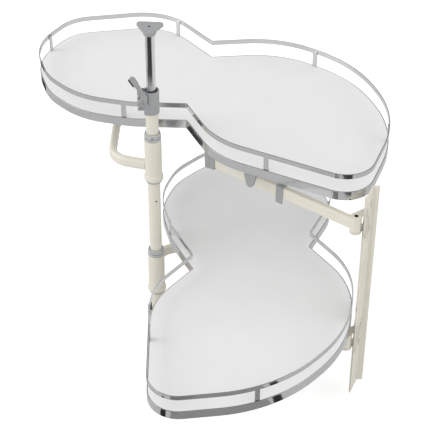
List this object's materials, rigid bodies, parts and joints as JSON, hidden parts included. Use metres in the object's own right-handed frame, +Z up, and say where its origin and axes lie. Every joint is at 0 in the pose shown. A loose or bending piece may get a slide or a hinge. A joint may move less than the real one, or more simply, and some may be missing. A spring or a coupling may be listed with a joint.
{
  "type": "corner carousel cabinet",
  "caption": "Swing-out fitting for a blind corner cabinet: kidney-shaped trays with chrome galleries on arms that turn about a post, guided by levers on a side rail.",
  "frame": {"origin": "axis of the post at the underside of its foot plate, on the cabinet floor", "axes": "+Z up along the post, +X along the cabinet front from the post to the guide rail, +Y into the cabinet"},
  "size_m": [0.7778, 0.8201, 0.728],
  "materials": {
    "cream_paint": "satin",
    "chrome": "mirror polished",
    "grey_plastic": "moulded, fine satin",
    "white_board": "smooth white melamine",
    "steel": "zinc plated",
    "dark_plastic": "moulded",
    "dark_steel": "blackened"
  },
  "bodies": {
    "post_and_rail": {"foot_plate": "grey_plastic", "post_tube": "cream_paint", "post_screw": "dark_steel", "tube_bush": "grey_plastic", "clamp_ring": "grey_plastic", "clamp_bolt": "steel", "clamp_nut": "steel", "catch_strip": "steel", "guide_rail": "cream_paint", "upper_bracket": "cream_paint", "lower_bracket": "cream_paint", "upper_hinge_pin": "dark_steel", "lower_hinge_pin": "dark_steel", "upper_stop_ring": "grey_plastic", "lower_stop_ring": "grey_plastic"},
    "mast": {"inner_tube": "chrome", "top_pad": "grey_plastic", "top_screw": "dark_steel"},
    "cam_lever": {"clamp_lever": "grey_plastic", "lever_grip": "dark_plastic"},
    "upper_arm_set": {"upper_sleeve": "cream_paint", "upper_top_bush": "grey_plastic", "upper_bottom_bush": "grey_plastic", "upper_collar": "grey_plastic", "upper_arm": "cream_paint", "upper_pivot_bush": "grey_plastic"},
    "upper_tray_set": {"upper_pivot_plate": "cream_paint", "upper_plate_screws": "steel", "upper_pin_plate": "cream_paint", "upper_tray_pin": "steel", "upper_stop_hook": "grey_plastic", "upper_board": "white_board", "upper_rim_strip": "chrome", "upper_rail_strip": "chrome", "upper_uprights": "chrome"},
    "upper_lever_set": {"upper_lever": "cream_paint", "upper_lever_cap": "grey_plastic", "upper_bumper_clip": "grey_plastic"},
    "lower_arm_set": {"lower_sleeve": "cream_paint", "lower_top_bush": "grey_plastic", "lower_bottom_bush": "grey_plastic", "lower_collar": "grey_plastic", "lower_arm": "cream_paint", "lower_pivot_bush": "grey_plastic"},
    "lower_tray_set": {"lower_pivot_plate": "cream_paint", "lower_plate_screws": "steel", "lower_pin_plate": "cream_paint", "lower_tray_pin": "steel", "lower_stop_hook": "grey_plastic", "lower_board": "white_board", "lower_rim_strip": "chrome", "lower_rail_strip": "chrome", "lower_uprights": "chrome"},
    "lower_lever_set": {"lower_lever": "cream_paint", "lower_lever_cap": "grey_plastic", "lower_bumper_clip": "grey_plastic"}
  },
  "joints": [
    {"name": "height_slide", "type": "slide", "parent": "post_and_rail", "child": "mast", "axis": [0, 0, 1], "range_m": [-0.06, 0.04]},
    {"name": "clamp_lever_turn", "type": "hinge", "parent": "post_and_rail", "child": "cam_lever", "pos_m": [-0.01522, -0.00494, 0.572], "axis": [0.309, -0.9511, 0], "range_deg": [-30, 55]},
    {"name": "upper_arm_swing", "type": "hinge", "parent": "post_and_rail", "child": "upper_arm_set", "pos_m": [0, 0, 0.413], "axis": [0, 0, 1], "range_deg": [-72.92, 0]},
    {"name": "upper_lever_swing", "type": "hinge", "parent": "post_and_rail", "child": "upper_lever_set", "pos_m": [0.4335, -0.102, 0.453], "axis": [0, 0, 1], "range_deg": [0, 23.23]},
    {"name": "upper_tray_turn", "type": "hinge", "parent": "upper_lever_set", "child": "upper_tray_set", "pos_m": [0.114, 0.0128, 0.453], "axis": [0, 0, 1], "range_deg": [-85.03, 0]},
    {"name": "lower_arm_swing", "type": "hinge", "parent": "post_and_rail", "child": "lower_arm_set", "pos_m": [0, 0, 0.1263], "axis": [0, 0, 1], "range_deg": [0, 72.92]},
    {"name": "lower_lever_swing", "type": "hinge", "parent": "post_and_rail", "child": "lower_lever_set", "pos_m": [0.4335, -0.102, 0.1663], "axis": [0, 0, 1], "range_deg": [-23.23, 0]},
    {"name": "lower_tray_turn", "type": "hinge", "parent": "lower_lever_set", "child": "lower_tray_set", "pos_m": [0.09461, -0.12225, 0.1663], "axis": [0, 0, 1], "range_deg": [0, 85.03]}
  ],
  "couplings": [
    {"joint": "upper_lever_swing", "follows": "upper_arm_swing", "ratio": -0.31791},
    {"joint": "upper_tray_turn", "follows": "upper_arm_swing", "ratio": 1.1654},
    {"joint": "lower_lever_swing", "follows": "lower_arm_swing", "ratio": -0.31791},
    {"joint": "lower_tray_turn", "follows": "lower_arm_swing", "ratio": 1.1654}
  ]
}
